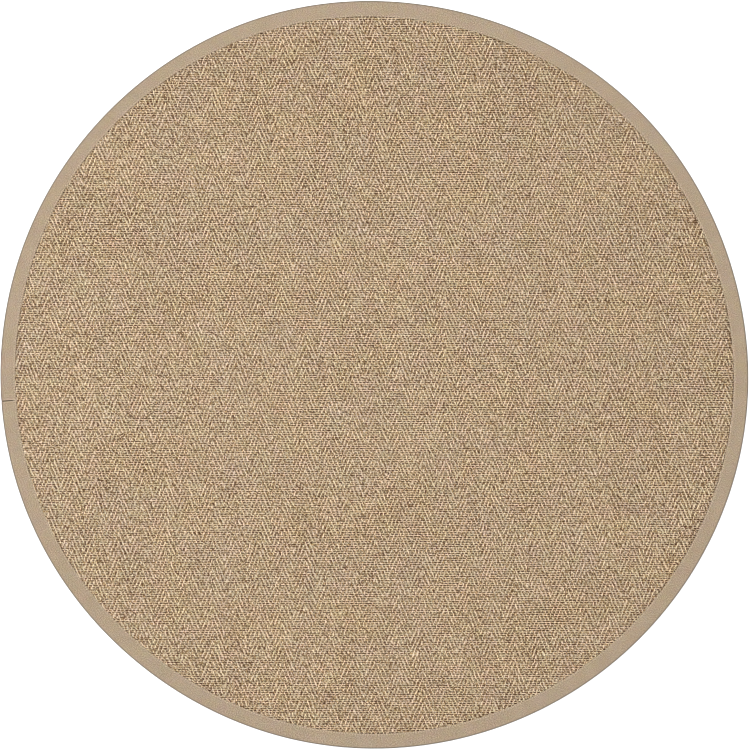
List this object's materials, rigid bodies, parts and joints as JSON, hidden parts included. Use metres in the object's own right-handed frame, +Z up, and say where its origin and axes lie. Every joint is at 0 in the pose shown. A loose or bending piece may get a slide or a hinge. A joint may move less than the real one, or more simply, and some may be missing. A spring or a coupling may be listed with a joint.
{
  "type": "round sisal rug",
  "caption": "Flat round floor rug of herringbone sisal cloth, its cut edge bound with a band of plain cotton tape.",
  "frame": {"origin": "middle of the underside, on the floor", "axes": "+Z up out of the rug's face; the chevron columns of the weave run along Y; the tape's seam is at the left, just below -X"},
  "size_m": [2.0004, 1.9996, 0.0079],
  "materials": {
    "sisal_weave": "coarse flat herringbone weave of straw and brown sisal yarn, dry and faintly glossy on the yarns",
    "cotton_tape": "smooth matt beige cotton tape, fine even weave"
  },
  "bodies": {
    "root": {"sisal_panel": "sisal_weave", "border_tape": "cotton_tape"}
  },
  "joints": []
}
